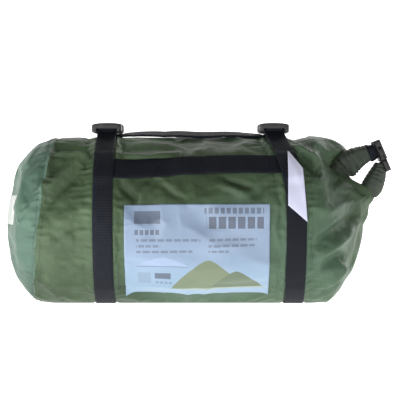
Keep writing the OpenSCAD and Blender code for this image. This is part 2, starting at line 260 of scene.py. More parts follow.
BACK_FOLDS = [
    ([(-150, 150), (-128, 140), (-106, 134)], 4.0, -2.4),
    ([(-150, 142), (-126, 130), (-106, 124)], 5.0, 2.0),
    ([(-118, 118), (-142, 96), (-164, 80)], 5.0, -2.0),
    ([(-112, 60), (-136, 52), (-160, 30)], 6.0, 1.8),
    ([(-190, 130), (-193, 90), (-188, 50)], 7.0, 1.6),
    ([(-82, 146), (-50, 138), (-20, 142)], 5.0, 1.8),
    ([(-84, 120), (-60, 104), (-24, 98)], 6.0, -2.0),
    ([(-78, 70), (-40, 58), (0, 64)], 7.0, 1.8),
    ([(82, 130), (52, 120), (30, 104)], 5.0, -2.0),
    ([(78, 84), (50, 76), (20, 84)], 7.0, 1.8),
    ([(70, 40), (40, 30), (0, 34)], 6.0, -1.8),
    ([(-84, 34), (-60, 22), (-30, 24)], 5.0, 1.4),
    ([(96, 150), (116, 142), (140, 146)], 6.0, 2.4),
    ([(98, 132), (124, 124), (152, 132)], 5.0, -2.8),
    ([(106, 104), (132, 100), (164, 118)], 6.0, 2.6),
    ([(106, 76), (132, 70), (162, 90)], 6.0, -2.6),
    ([(108, 46), (136, 44), (158, 62)], 5.0, 2.4),
    ([(122, 20), (142, 26), (156, 44)], 5.0, -2.6),
]


FOLD_RISE = 2.1 * MM                # a fold of height 1 in the lists rises this far


def fold_shape(points, place, width):
    """1 on the fold's line, falling to 0 beside it and towards its two ends."""
    line = np.array(points, float) * MM
    lengths = np.linalg.norm(np.diff(line, axis=0), axis=1)
    total = lengths.sum()
    nearest = np.full(place.shape[:-1], 1e9)
    share = np.zeros(place.shape[:-1])
    done = 0.0
    for start, finish, length in zip(line[:-1], line[1:], lengths):
        t = np.clip(((place - start) @ (finish - start)) / length ** 2, 0, 1)
        distance = np.linalg.norm(place - start - t[..., None] * (finish - start), axis=-1)
        closer = distance < nearest
        nearest = np.where(closer, distance, nearest)
        share = np.where(closer, (done + t * length) / total, share)
        done += length
    ends = smooth_step(np.minimum(share, 1 - share) / 0.3)
    return (0.25 + 0.75 * ends) * np.exp(-(nearest / (width * MM)) ** 2)


def grid_normals(grid):
    along = np.gradient(grid, axis=0)
    round_ring = (np.roll(grid, -1, 1) - np.roll(grid, 1, 1)) / 2
    normal = np.cross(round_ring, along)
    return normal / np.maximum(np.linalg.norm(normal, axis=2, keepdims=True), 1e-12)


def ripple(grid, seed):
    """Soft, seeded unevenness of stuffed cloth, between -1 and 1."""
    rng = np.random.default_rng(seed)
    total = np.zeros(grid.shape[:2])
    weight = 0.0
    for wavelength, amplitude in ((0.075, 1.0), (0.045, 0.8), (0.026, 0.45), (0.016, 0.22)):
        for _ in range(5):
            direction = rng.normal(size=3)
            direction /= np.linalg.norm(direction)
            phase = rng.uniform(0, 2 * math.pi)
            total += amplitude * np.sin(grid @ direction * 2 * math.pi / wavelength + phase)
            weight += amplitude ** 2
    return total / math.sqrt(weight * 5) * 1.4


def cap_ring_of(grid, body_count):
    """Number of the ring where the end cap is sewn on."""
    return int(np.argmin(np.abs(grid[:body_count, :, 0].mean(1) - CAP_SEAM_X)))


def gathers(x, line, reach, seed):
    """Short puckers that run away from a line round the bag, to the side that reach gives."""
    rng = np.random.default_rng(seed)
    run = np.radians(ANGLES) * RADIUS
    wobble = sum(rng.uniform(0.6, 1) * np.sin(run * 2 * math.pi / step + rng.uniform(0, 6))
                 for step in (6.5 * MM, 8.3 * MM, 10.9 * MM)) / 2
    groups = 0.5 + 0.5 * np.sin(run * 2 * math.pi / (47 * MM) + rng.uniform(0, 6))
    away = (x - line) / reach
    fade = np.where(away > 0, smooth_step(away * 6) * np.exp(-(away * 1.2) ** 2), 0)
    return wobble * (0.35 + 0.65 * groups) * fade


SEAM_DEPTH = 1.3 * MM


def crumple(grid, body_count):
    """Adds the folds, the bite of the straps and a little unevenness along the cloth's normals."""
    normals = grid_normals(grid)
    x = grid[..., 0]
    flat_place = grid[..., [0, 2]]
    is_front = np.broadcast_to(COS > 0, x.shape)
    ring_index = np.arange(len(grid))[:, None]
    in_body = ring_index < body_count
    off_floor = smooth_step(grid[..., 2] / (12 * MM))
    at_mouth_end = smooth_step((len(grid) - 1 - ring_index) / 6)
    height = np.zeros(x.shape)
    for folds, side in ((FRONT_FOLDS, is_front), (BACK_FOLDS, ~is_front)):
        for points, width, rise in folds:
            height += np.where(side, fold_shape(points, flat_place, width) * rise * FOLD_RISE, 0)
    strap = np.where(in_body, under_strap(x, ANGLES, 9 * MM), 0)
    height = height * (1 - strap) + 0.9 * MM * ripple(grid, 4) * (1 - 0.8 * strap)
    cap_ring = cap_ring_of(grid, body_count)
    beside_left, beside_right, beside_cap = left_strap_x(ANGLES), right_strap_x(ANGLES), grid[cap_ring, :, 0]
    past_right_strap = 4                            # the one row of puckers that runs on into the mouth
    for seed, line, reach, rise in ((1, beside_left - WEBBING / 2, -13, 1.3),
                                    (2, beside_left + WEBBING / 2, 15, 1.3),
                                    (3, beside_right - WEBBING / 2, -15, 1.2),
                                    (past_right_strap, beside_right + WEBBING / 2, 12, 1.4),
                                    (5, beside_cap, 11, 1.2),
                                    (6, beside_cap, -12, 1.2)):
        allowed = in_body | (seed == past_right_strap)
        height += np.where(allowed, gathers(x, line, reach * MM, seed) * rise * MM, 0)
    cap_seam = np.exp(-((ring_index - cap_ring) / 1.3) ** 2)
    base_seam = np.exp(-((elevation(ANGLES) - BASE_ANGLE) / 2.0) ** 2) * in_body
    height -= SEAM_DEPTH * np.maximum(cap_seam, 0.7 * base_seam * (ring_index > cap_ring))
    height += (1.2 * MM) * (1 - strap) * in_body - 1.0 * MM * strap
    tip = smooth_step(ring_index / 14)
    return grid + normals * (height * off_floor * at_mouth_end * tip)[..., None]


# ---- Meshes ----

def new_object(name, vertices, faces, uvs=None):
    """uvs, if given, holds one (u, v) for each corner of each face."""
    mesh = bpy.data.meshes.new(name)
    mesh.from_pydata([tuple(v) for v in vertices], [], faces)
    if uvs is not None:
        layer = mesh.uv_layers.new(name="metres")
        layer.data.foreach_set("uv", np.array(uvs, np.float32).ravel())
    mesh.polygons.foreach_set("use_smooth", [True] * len(mesh.polygons))
    mesh.update()
    obj = bpy.data.objects.new(name, mesh)
    bpy.context.scene.collection.objects.link(obj)
    return obj


def coordinates(obj):
    depsgraph = bpy.context.evaluated_depsgraph_get()
    mesh = obj.evaluated_get(depsgraph).data
    values = np.empty(len(mesh.vertices) * 3, np.float32)
    mesh.vertices.foreach_get("co", values)
    return values.reshape(-1, 3).astype(float)


def grid_faces(ring_count, columns=COLUMNS, start=0):
    faces = []
    for i in range(ring_count - 1):
        for j in range(columns):
            k = (j + 1) % columns
            faces.append((start + i * columns + j, start + i * columns + k,
                          start + (i + 1) * columns + k, start + (i + 1) * columns + j))
    return faces


CLOTH_FRAMES = 20


def swell(grid, pinned, limit):
    """Cloth simulation: the cloth is blown out from inside, held where it is pinned.

    No point moves further than limit, so the bag keeps its size."""
    rings = len(grid)
    start = grid.reshape(-1, 3)
    obj = new_object("cloth_trial", start, grid_faces(rings))
    group = obj.vertex_groups.new(name="pinned")
    flat_pins = pinned.ravel()
    for level in np.unique(np.round(flat_pins, 1)):
        if level > 0:
            members = np.nonzero(np.round(flat_pins, 1) == level)[0]
            group.add([int(i) for i in members], float(level), "REPLACE")
    cloth = obj.modifiers.new("cloth", "CLOTH")
    settings = cloth.settings
    settings.quality = 4
    settings.mass = 0.25
    settings.tension_stiffness = 12
    settings.compression_stiffness = 12
    settings.shear_stiffness = 4
    settings.bending_stiffness = 0.3
    settings.use_pressure = True
    settings.uniform_pressure_force = 4
    settings.shrink_min = -0.035
    settings.vertex_group_mass = "pinned"
    settings.effector_weights.gravity = 0
    cloth.collision_settings.use_collision = False
    scene = bpy.context.scene
    for number in range(1, CLOTH_FRAMES + 1):
        scene.frame_set(number)
    move = coordinates(obj) - start
    scene.frame_set(1)
    bpy.data.objects.remove(obj)
    length = np.linalg.norm(move, axis=1, keepdims=True)
    soft = limit * np.tanh(length / limit)
    moved = start + move * soft / np.maximum(length, 1e-9)
    moved[:, 2] = np.maximum(moved[:, 2], 0.1 * MM)
    return moved.reshape(grid.shape)


grid, body_count = bag_grid()
grid = crumple(grid, body_count)
ring_index = np.arange(len(grid))[:, None]
held = np.where(ring_index < body_count, under_strap(grid[..., 0], ANGLES, 2 * MM), 0)
held = np.maximum(held, np.where(grid[..., 2] < 1.5 * MM, 1, 0))
held = np.maximum(held, np.where(ring_index > len(grid) - 4, 1, 0))
held = np.where(held > 0.3, 1, 0)
grid = swell(grid, held, 3.0 * MM)

skin = BVHTree.FromPolygons([tuple(v) for v in grid.reshape(-1, 3)], grid_faces(len(grid)))


def skin_radius(x, angle):
    """Distance from the bag's axis to its cloth."""
    a = math.radians(angle)
    hit = skin.ray_cast(Vector((x, 0, AXIS_Z)), Vector((0, -math.cos(a), math.sin(a))))
    return hit[3] if hit[0] else RADIUS


def at_radius(x, angle, radius):
    a = math.radians(angle)
    return np.array([x, -radius * math.cos(a), AXIS_Z + radius * math.sin(a)])


# ---- Materials ----

class Nodes:
    """Short way to write a procedural material."""

    def __init__(self, name):
        self.material = bpy.data.materials.new(name)
        self.material.use_nodes = True
        self.tree = self.material.node_tree
        self.shader = self.tree.nodes["Principled BSDF"]

    def node(self, kind, **settings):
        made = self.tree.nodes.new("ShaderNode" + kind)
        for key, value in settings.items():
            setattr(made, key, value)
        return made

    def put(self, socket, value):
        if hasattr(value, "links"):
            self.tree.links.new(value, socket)
        elif hasattr(value, "__len__") and len(value) == 3 and socket.type == "RGBA":
            socket.default_value = (*value, 1)
        else:
            socket.default_value = value

    def math(self, operation, a, b=0.0, clamp=False):
        made = self.node("Math", operation=operation, use_clamp=clamp)
        self.put(made.inputs[0], a)
        self.put(made.inputs[1], b)
        return made.outputs[0]

    def scaled(self, value, factor, offset):
        made = self.node("Math", operation="MULTIPLY_ADD")
        for socket, given in zip(made.inputs, (value, factor, offset)):
            self.put(socket, given)
        return made.outputs[0]

    def mix(self, share, a, b):
        made = self.node("Mix", data_type="RGBA")
        self.put(made.inputs[0], share)
        self.put(made.inputs[6], a)
        self.put(made.inputs[7], b)
        return made.outputs[2]

    def place(self, kind="Object"):
        return self.node("TexCoord").outputs[kind]

    def noise(self, scale, detail=3.0, roughness=0.5, place=None):
        made = self.node("TexNoise")
        self.put(made.inputs["Vector"], place or self.place())
        self.put(made.inputs["Scale"], scale)
        self.put(made.inputs["Detail"], detail)
        self.put(made.inputs["Roughness"], roughness)
        return made.outputs["Fac"]

    def ramp(self, value, low, high):
        made = self.node("MapRange", interpolation_type="SMOOTHSTEP")
        self.put(made.inputs["Value"], value)
        made.inputs["From Min"].default_value = low
        made.inputs["From Max"].default_value = high
        return made.outputs["Result"]

    def uv(self):
        split = self.node("SeparateXYZ")
        self.put(split.inputs[0], self.place("UV"))
        return split.outputs[0], split.outputs[1]

    def bump(self, height, distance, strength=1.0, normal=None):
        made = self.node("Bump")
        made.inputs["Strength"].default_value = strength
        made.inputs["Distance"].default_value = distance
        self.put(made.inputs["Height"], height)
        if normal:
            self.put(made.inputs["Normal"], normal)
        return made.outputs["Normal"]

    def finish(self, colour, roughness, normal=None, **extra):
        self.put(self.shader.inputs["Base Color"], colour)
        self.put(self.shader.inputs["Roughness"], roughness)
        if normal:
            self.put(self.shader.inputs["Normal"], normal)
        for key, value in extra.items():
            self.put(self.shader.inputs[key.replace("_", " ")], value)
        return self.material


def wave(m, value, period):
    """A sine along value, from 0 to 1."""
    turned = m.math("SINE", m.math("MULTIPLY", value, 2 * math.pi / period))
    return m.scaled(turned, 0.5, 0.5)


def cloth_material(name, colour, shade, teal):
    """Coated polyester: fine plain weave, soft crinkle, and a low sheen."""
    m = Nodes(name)
    u, v = m.uv()
    thread, square = 0.9 * MM, 5 * MM               # pitch of the weave and of the ripstop's squares
    weave = m.math("MULTIPLY", m.math("SINE", m.math("MULTIPLY", u, 2 * math.pi / thread)),
                   m.math("SINE", m.math("MULTIPLY", v, 2 * math.pi / thread)))
    ripstop = m.math("MAXIMUM",
                     m.math("GREATER_THAN", m.math("FRACT", m.math("DIVIDE", u, square)), 0.9),
                     m.math("GREATER_THAN", m.math("FRACT", m.math("DIVIDE", v, square)), 0.9))
    patches = m.ramp(m.noise(9, 2), 0.35, 0.65)
    fine = m.noise(60, 4, 0.6)
    tone = m.mix(patches, shade, colour)
    tone = m.mix(m.math("MULTIPLY", m.ramp(m.noise(5, 1), 0.4, 0.7), 0.55), tone, teal)
    tone = m.mix(m.math("MULTIPLY", m.ramp(fine, 0.45, 0.75), 0.22), tone, tuple(1.5 * c for c in colour))
    tone = m.mix(m.math("MULTIPLY", ripstop, 0.10), tone, tuple(1.35 * c for c in colour))
    tone = m.mix(m.math("MULTIPLY", m.ramp(weave, -0.2, 1.0), 0.12), tone, tuple(0.7 * c for c in colour))
    sharp = m.math("ABSOLUTE", m.scaled(m.noise(24, 2, 0.5), 2, -1))
    crumpled = m.bump(m.ramp(sharp, 0.0, 0.35), 2.2 * MM, 0.55)
    crinkle = m.bump(m.noise(52, 5, 0.62), 2.0 * MM, 0.6, crumpled)
    creases = m.bump(m.noise(170, 3, 0.6), 0.6 * MM, 0.5, crinkle)
    threads = m.bump(m.math("ADD", m.math("MULTIPLY", weave, 0.5), ripstop), 0.12 * MM, 0.5, creases)
    return m.finish(tone, m.scaled(fine, 0.16, 0.38), threads, Specular_IOR_Level=0.19)


def webbing_material(name, colour, light):
    """Flat woven webbing: ribs across it and a herringbone along it."""
    m = Nodes(name)
    u, v = m.uv()
    zigzag = m.math("ABSOLUTE", m.math("SUBTRACT", m.math("FRACT", m.math("DIVIDE", u, 5 * MM)), 0.5))
    slanted = m.math("ADD", v, m.math("MULTIPLY", zigzag, 5 * MM))
    herringbone = wave(m, slanted, 1.3 * MM)
    ribs = wave(m, v, 2.6 * MM)
    threads = m.math("ADD", m.math("MULTIPLY", herringbone, 0.6), m.math("MULTIPLY", ribs, 0.5))
    worn = m.ramp(m.noise(70, 4, 0.65), 0.45, 0.8)
    tone = m.mix(m.math("MULTIPLY", threads, 0.45), colour, light)
    tone = m.mix(m.math("MULTIPLY", worn, 0.25), tone, tuple(1.6 * c for c in light))
    fuzz = m.bump(m.noise(420, 2), 0.2 * MM, 0.4)
    relief = m.bump(threads, 0.35 * MM, 0.8, fuzz)
    return m.finish(tone, 0.66, relief, Specular_IOR_Level=0.2)


def plastic_material(name):
    """Moulded acetal: nearly black, finely grained, a little polished where it is handled."""
    m = Nodes(name)
    grain = m.noise(700, 3)
    wear = m.ramp(m.noise(45, 3), 0.4, 0.75)
    tone = m.mix(m.math("MULTIPLY", wear, 0.5), (0.010, 0.010, 0.012), (0.030, 0.030, 0.034))
    relief = m.bump(grain, 0.12 * MM, 0.35)
    return m.finish(tone, m.scaled(wear, -0.12, 0.44), relief, Specular_IOR_Level=0.55)


def thread_material(name, colour):
    m = Nodes(name)
    tone = m.mix(m.ramp(m.noise(300, 2), 0.3, 0.7), colour, tuple(1.8 * c for c in colour))
    return m.finish(tone, 0.6, m.bump(m.noise(1400, 2), 0.1 * MM, 0.6), Sheen_Weight=0.3)


GREEN = (0.078, 0.122, 0.064)
GREEN_SHADE = (0.048, 0.074, 0.040)
TEAL = (0.072, 0.135, 0.108)
main_cloth = cloth_material("coated_cloth", GREEN, GREEN_SHADE, TEAL)
# Painted highlight: the sewn end gets a lighter, bluer copy of the body's coated cloth, standing in for the
# highlights that the dome catches.
cap_cloth_painted_highlight = cloth_material("coated_cloth_end_painted_highlight", (0.084, 0.146, 0.108), (0.060, 0.106, 0.080),
                           (0.082, 0.154, 0.124))
webbing = webbing_material("navy_webbing", (0.0040, 0.0052, 0.0095), (0.010, 0.013, 0.022))
plastic = plastic_material("black_acetal")

# ---- The cloth's panels ----

UV_ALONG = np.concatenate([[0], np.cumsum(np.linalg.norm(np.diff(grid[:, 0], axis=0), axis=1))])
UV_ROUND = np.linspace(0, 2 * math.pi * RADIUS, COLUMNS + 1)


def panel(name, chosen, material, closes_tip=False, closes_mouth=False):
    """One panel of the bag from the faces of the grid for which chosen is true."""
    number = -np.ones(grid.shape[:2], int)
    vertices, faces, uvs = [], [], []

    def vertex(i, j):
        j %= COLUMNS
        if number[i, j] < 0:
            number[i, j] = len(vertices)
            vertices.append(grid[i, j])
        return int(number[i, j])

    for i in range(len(grid) - 1):
        for j in range(COLUMNS):
            if chosen[i, j]:
                corners = [(i, j), (i, j + 1), (i + 1, j + 1), (i + 1, j)]
                faces.append([vertex(*c) for c in corners])
                uvs += [(UV_ALONG[a], UV_ROUND[b]) for a, b in corners]
    for wanted, ring in ((closes_tip, 0), (closes_mouth, len(grid) - 1)):
        if wanted:
            middle = grid[ring].mean(0) - (0 if ring == 0 else 1) * 3 * MM * FOLD_UP
            vertices.append(middle)
            for j in range(COLUMNS):
                pair = [vertex(ring, j), vertex(ring, j + 1)]
                faces.append([len(vertices) - 1] + (pair[::-1] if ring == 0 else pair))
                uvs += [(0, 0), (MM, 0), (0, MM)]
    obj = new_object(name, vertices, faces, uvs)
    obj.data.materials.append(material)
    mesh = bmesh.new()
    mesh.from_mesh(obj.data)
    bmesh.ops.recalc_face_normals(mesh, faces=mesh.faces)
    outward = sum(f.normal.dot(f.calc_center_median() - Vector((0, 0, AXIS_Z))) for f in mesh.faces)
    if outward < 0:
        bmesh.ops.reverse_faces(mesh, faces=mesh.faces)
    mesh.to_mesh(obj.data)
    mesh.free()
    obj.modifiers.new("smooth", "SUBSURF").levels = 1
    obj.modifiers["smooth"].render_levels = 1
    return obj


ring_middle_x = grid[:, :, 0].mean(1)
cap_ring = cap_ring_of(grid, body_count)
base_end_ring = int(np.argmin(np.abs(ring_middle_x[:body_count] - RIGHT_X)))
column_elevation = elevation(ANGLES + 180 / COLUMNS)
ring_number = np.arange(len(grid))[:, None] + np.zeros((1, COLUMNS), int)
in_cap = ring_number < cap_ring
in_base = ~in_cap & (ring_number < base_end_ring) & (column_elevation < BASE_ANGLE)[None, :]

end_cap = panel("end_cap_cloth", in_cap, cap_cloth_painted_highlight, closes_tip=True)
base = panel("base_cloth", in_base, main_cloth)
body = panel("main_cloth", ~in_cap & ~in_base, main_cloth, closes_mouth=True)
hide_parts("end_cap")
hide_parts("base_panel")
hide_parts("body_panel", "mouth_collar")
for piece in (end_cap, base, body):
    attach(piece, "bag")

# ---- Webbing ----


def unit(vectors):
    return vectors / np.maximum(np.linalg.norm(vectors, axis=-1, keepdims=True), 1e-12)


def ribbon(name, path, across, width, thickness=THICKNESS, closed=False, material=None, flip=False):
    """Flat webbing whose inner face runs along path, with firm, rounded edges.

    across is the direction of its width; its thickness grows to the left of path x across, or to
    the right if flip is set."""
    path = np.array(path, float)
    if closed:
        tangent = unit(np.roll(path, -1, 0) - np.roll(path, 1, 0))
    else:
        tangent = unit(np.gradient(path, axis=0))
    across = np.broadcast_to(np.array(across, float), path.shape)
    across = unit(across - tangent * (across * tangent).sum(1, keepdims=True))
    outward = np.cross(tangent, across) * (-1 if flip else 1)
    section = [(-0.5, 0.25), (-0.47, 0), (-0.25, 0), (0, 0), (0.25, 0), (0.47, 0), (0.5, 0.25),
               (0.5, 0.75), (0.46, 1), (0.25, 0.93), (0, 0.91), (-0.25, 0.93), (-0.46, 1), (-0.5, 0.75)]
    count = len(section)
    vertices = [path[i] + across[i] * w * width + outward[i] * t * thickness
                for i in range(len(path)) for w, t in section]
    if closed:
        steps = np.linalg.norm(np.roll(path, -1, 0) - path, axis=1)
    else:
        steps = np.linalg.norm(np.diff(path, axis=0), axis=1)
    run = np.concatenate([[0], np.cumsum(steps)])
    faces, uvs = [], []
    last = len(path) if closed else len(path) - 1
    for i in range(last):
        n = (i + 1) % len(path)
        for k in range(count):
            m = (k + 1) % count
            faces.append((i * count + k, i * count + m, n * count + m, n * count + k))
            uvs += [(section[k][0] * width, run[i]), (section[m][0] * width, run[i]),
                    (section[m][0] * width, run[i + 1]), (section[k][0] * width, run[i + 1])]
    if not closed:
        for ring in (0, len(path) - 1):
            order = list(range(count)) if ring else list(range(count))[::-1]
            faces.append([ring * count + k for k in order])
            uvs += [(section[k][0] * width, run[ring] + section[k][1] * thickness) for k in order]
    obj = new_object(name, vertices, faces, uvs)
    obj.data.materials.append(material or webbing)
    tidy_normals(obj)
    return obj


def tidy_normals(obj):
    mesh = bmesh.new()
    mesh.from_mesh(obj.data)
    bmesh.ops.recalc_face_normals(mesh, faces=mesh.faces)
    mesh.to_mesh(obj.data)
    mesh.free()


LOOP_POINTS = 240
LOOP_ANGLES = -90 + 360 * np.arange(LOOP_POINTS) / LOOP_POINTS
CROSSING = (24, 56)                 # elevations between which a strap rises over the carry strap


def loop_radius(strap_x):
    """Radius of a compression strap's inner face at each of LOOP_ANGLES."""
    middle = strap_x(LOOP_ANGLES)
    radius = np.array([
        max(skin_radius(x + offset * WEBBING, angle) for offset in (-0.45, -0.2, 0, 0.2, 0.45))
        for x, angle in zip(middle, LOOP_ANGLES)])
    radius = np.maximum(blur_round(radius, 2.5), radius - 0.3 * MM) + 0.25 * MM
    above = smooth_step((LOOP_ANGLES - CROSSING[0]) / 7) * smooth_step((CROSSING[1] - LOOP_ANGLES) / 7)
    return radius + (THICKNESS + 0.2 * MM) * above


def strap_loop(name, strap_x, radius):
    path = [at_radius(x, angle, r) for x, angle, r in zip(strap_x(LOOP_ANGLES), LOOP_ANGLES, radius)]
    path = np.array(path)
    path[:, 2] = np.maximum(path[:, 2], THICKNESS + 0.3 * MM)
    return ribbon(name, path, (1, 0, 0), WEBBING, closed=True, flip=True)


left_radius = loop_radius(left_strap_x)
right_radius = loop_radius(right_strap_x)
for name, strap_x, radius in (("left_strap", left_strap_x, left_radius),
                              ("right_strap", right_strap_x, right_radius)):
    strap = strap_loop(name + "_webbing", strap_x, radius)
    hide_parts(name)
    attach(strap, "bag")


def front_strap():
    """Carry strap along the front; its ends are sewn under the compression straps."""
    width = 0.024
    angles = np.interp(np.linspace(0, 1, 90), [0, 0.25, 0.6, 1], [37.6, 39.2, 41.8, 41.6])
    finish = float(right_strap_x(41.6))
    path = []
    for x, angle in zip(np.linspace(LEFT_X, finish, 90), angles):
        spread = math.degrees(width / RADIUS)
        radius = max(skin_radius(x, angle + share * spread) for share in np.linspace(-0.5, 0.5, 13))
        path.append([x, angle, radius + 0.5 * MM])
    path = np.array(path)
    for _ in range(6):
        path[1:-1, 2] = np.maximum((path[:-2, 2] + path[1:-1, 2] + path[2:, 2]) / 3, path[1:-1, 2] - 0.1 * MM)
    points = [at_radius(*p) for p in path]
    across = [(0, math.sin(math.radians(a)), math.cos(math.radians(a))) for a in path[:, 1]]
    strap = ribbon("carry_strap", points, across, width, flip=True)
    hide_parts("front_strap")
    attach(strap, "bag")


def top_handle():
    """Handle along the top: it arches a little, leans towards the front, and its front edge almost
    touches the cloth."""
    low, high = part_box("top_handle")
    front_edge = 81                 # elevation of the handle's front edge, in degrees
    share = np.linspace(0, 1, 80)
    x = low.x + (high.x - low.x) * share
    arch = np.sin(math.pi * share) ** 0.6
    lean = 0.30 * np.sin(math.pi * share) ** 0.35
    cloth_top = np.array([at_radius(v, front_edge, skin_radius(v, front_edge))[2] for v in x])
    z = low.z + 1.2 * MM + 1.3 * MM * arch + 0.5 * MM * np.sin(share * 17 + 1) * arch
    z = np.maximum(z, cloth_top + WEBBING / 2 * np.sin(lean) + 0.6 * MM)
    path = np.stack([x, -4 * MM * arch, z], 1)
    across = np.stack([0 * x, np.cos(lean), np.sin(lean)], 1)
    handle = ribbon("top_handle_webbing", path, across, WEBBING * 0.98, thickness=2.2 * MM)
    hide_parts("top_handle")
    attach(handle, "bag")


front_strap()
top_handle()

# ---- Buckles: places come from the joints of their plugs and squeeze arms ----

JOINTS = {joint["name"]: joint for joint in frame["joints"]}
PIVOT_BEYOND_MOUTH = 2.2 * MM       # these four are for the strap webbing's own buckle
PIVOT_TO_MIDDLE = 12.3 * MM
SOCKET_BAR = -24.6 * MM
PLUG_BAR = 9 * MM
LOOP_HOLE = 1.8 * MM                # radius of the webbing's turn round a bar
WEBBING_BUCKLE = 33 * MM            # width of a strap buckle


def buckle_place(name):
    """Middle of a socket's mouth, the way its plug pulls out, and its size against a strap buckle."""
    pivots = [np.array(j["pos_m"]) for key, j in JOINTS.items() if key.startswith(name + "_squeeze")]
    way = np.array(JOINTS[name + "_release"]["axis"], float)
    scale = np.linalg.norm(pivots[0] - pivots[1]) / 2 / PIVOT_TO_MIDDLE
    return (pivots[0] + pivots[1]) / 2 - way * PIVOT_BEYOND_MOUTH * scale, way, scale


CROWN = (1.22, 0.62)                # thickness of a buckle at its middle and sides, against the plain one


def moulded(node, body):
    """A buckle's piece, crowned across its width, with moulded, rounded edges.

    The crown is the same all along the buckle, so the plug still slides clear of the socket."""
    source = nodes[node]
    middle, way, scale = buckle_place(node.split("_")[0])
    across = unit(np.cross(way, (0, 0, 1)))
    up = np.cross(across, way)
    half = WEBBING_BUCKLE / 2 * scale
    mesh = bmesh.new()
    mesh.from_mesh(source.data)
    bmesh.ops.remove_doubles(mesh, verts=mesh.verts, dist=0.005 * MM)
    bmesh.ops.dissolve_limit(mesh, angle_limit=math.radians(2), verts=mesh.verts, edges=mesh.edges)
    for share in np.linspace(-0.9, 0.9, 13):
        everything = mesh.verts[:] + mesh.edges[:] + mesh.faces[:]
        bmesh.ops.bisect_plane(mesh, geom=everything, dist=0.01 * MM,
                               plane_co=middle + across * half * share, plane_no=across)
    for vertex in mesh.verts:
        offset = np.array(vertex.co) - middle
        aside = min(1.0, abs(offset @ across) / half)
        thicker = CROWN[1] + (CROWN[0] - CROWN[1]) * math.sqrt(max(0, 1 - aside ** 2.6))
        rise = offset @ up
        vertex.co = Vector(middle + offset + up * rise * (thicker - 1))
    data = bpy.data.meshes.new(node + "_moulded")
    mesh.to_mesh(data)
    mesh.free()
    data.materials.clear()
    data.materials.append(plastic)
    piece = bpy.data.objects.new(node + "_moulded", data)
    bpy.context.scene.collection.objects.link(piece)
    bevel = piece.modifiers.new("rounded_edges", "BEVEL")
    bevel.width = 0.4 * MM * scale
    bevel.segments = 3
    bevel.limit_method = "ANGLE"
    bevel.angle_limit = math.radians(35)
    bevel.harden_normals = True
    data.polygons.foreach_set("use_smooth", [True] * len(data.polygons))
    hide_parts(node)
    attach(piece, body)


for body_name, members in frame["record"]["behaviour"]["bodies"].items():
    for node in members:
        if "_buckle_" in node:
            moulded(node, body_name)


def round_bar(bar, towards, radius, turn_from, turn_by, count=22):
    """Points round a bar in the upright plane of towards, counted from level."""
    angles = np.radians(turn_from + turn_by * np.linspace(0, 1, count))
    return [bar + radius * (math.cos(a) * towards + math.sin(a) * np.array([0, 0, 1])) for a in angles]


def strap_end(name, buckle, bar_offset, radii, body):
    """Webbing from where it lies on a compression strap up to a buckle's bar, and once round it.

    It leans as far as its strap does."""
    strap_x = left_strap_x if buckle == "left" else right_strap_x
    mouth, way = buckle_place(buckle)[:2]
    bar = mouth + way * bar_offset
    side = np.array([0, math.copysign(1, bar[1]), 0])
    hole = LOOP_HOLE
    outer = np.array([0, 0, AXIS_Z])
    rise, reach = bar[2] - AXIS_Z, abs(bar[1])
    landing = 60 if side[1] < 0 else 120            # angle on the strap where the webbing comes down
    rest = float(np.interp(landing, LOOP_ANGLES, radii)) + THICKNESS + 0.25 * MM
    away = math.hypot(rise, reach)
    slope = math.atan2(reach, rise) + math.acos((rest + hole + THICKNESS) / away)
    lie = [outer + rest * (math.sin(t) * side + math.cos(t) * np.array([0, 0, 1]))
           for t in np.linspace(slope + 0.2, slope, 8)]
    foot = bar - (hole + THICKNESS) * (math.sin(slope) * side + math.cos(slope) * np.array([0, 0, 1]))
    stretch = [lie[-1] + (foot - lie[-1]) * t for t in np.linspace(0, 1, 24)[1:-1]]
    start = math.degrees(math.atan2(-math.cos(slope), -math.sin(slope)))
    wrap = round_bar(bar, side, hole + THICKNESS, start, -335, 40)
    path = np.array(lie + stretch + wrap)
    lying = len(lie)
    leaning = lying + len(stretch)
    angles = np.degrees(np.arctan2(path[:lying, 2] - AXIS_Z, -path[:lying, 1]))
    lean = strap_x(angles) - bar[0]
    lean[lean < 0.5 * MM] = 0
    path[:, 0] = bar[0]
    path[:lying, 0] += lean
    path[lying:leaning, 0] += lean[-1] * np.linspace(1, 0, leaning - lying)
    obj = ribbon(name, path, (1, 0, 0), WEBBING * 0.97, flip=side[1] > 0)
    if body == "bag":
        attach(obj, "bag")
    else:
        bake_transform(obj)
    return obj


for side_name, radii in (("left", left_radius), ("right", right_radius)):
    rear = strap_end(side_name + "_rear_web", side_name, SOCKET_BAR, radii, "bag")
    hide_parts(side_name + "_rear_webbing")
    front = strap_end(side_name + "_front_web", side_name, PLUG_BAR, radii, side_name + "_plug")
    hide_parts(side_name + "_front_webbing")

# ---- Rolled band of the mouth ----
# The band's places are x and z in millimetres, with its half-width in that plane and its half-depth.

LEFT_ARM = [
    (183.5, 159.2, 5.0, 8.0), (180.0, 157.6, 7.6, 9.5), (173, 155.2, 9.4, 11.0), (165, 151.6, 11.6, 12.0),
    (157.5, 147.0, 13.6, 12.0), (150, 140.5, 14.6, 10.5), (147, 132, 11.0, 8.6), (152, 125.5, 7.6, 8.0),
    (161, 120.5, 6.4, 7.6), (170, 117, 6.0, 7.2), (178, 114, 4.4, 5.0),
]
RIGHT_ARM = [
    (176, 113, 8.6, 6.0), (179.5, 119.5, 11.2, 8.5), (183, 127, 10.8, 10.5), (186.2, 135, 9.2, 10.8),
    (188.2, 141.5, 7.2, 9.8), (189.2, 146, 5.4, 8.0),
]


